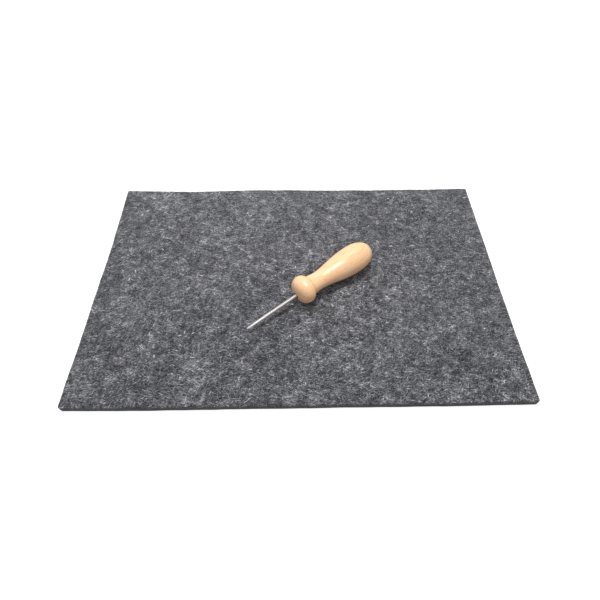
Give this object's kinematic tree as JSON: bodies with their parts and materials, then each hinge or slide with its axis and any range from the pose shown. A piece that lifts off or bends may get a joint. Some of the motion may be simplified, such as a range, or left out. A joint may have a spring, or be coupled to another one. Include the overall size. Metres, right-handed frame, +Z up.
{
  "type": "needle felting mat",
  "caption": "Thick rectangular pressed-felt mat for pricking and needle felting, with a loose wooden-handled steel awl lying on it",
  "frame": {"origin": "the middle of the mat's underside, on the surface that it lies on", "axes": "+X along the mat's long edge to the right, +Y to its back edge, +Z up through its thickness"},
  "size_m": [0.3, 0.2, 0.0263],
  "materials": {
    "grey_wool_felt": "heather-grey pressed wool felt, matt and fibrous",
    "lacquered_hardwood": "pale turned hardwood under clear gloss lacquer",
    "ground_steel": "bright ground steel"
  },
  "bodies": {
    "mat": {"felt_mat": "grey_wool_felt"},
    "awl": {"awl_handle": "lacquered_hardwood", "awl_spike": "ground_steel"}
  },
  "joints": [
    {"name": "awl_lift", "type": "slide", "parent": "mat", "child": "awl", "axis": [0, 0, 1], "range_m": [0, 0.12]}
  ]
}
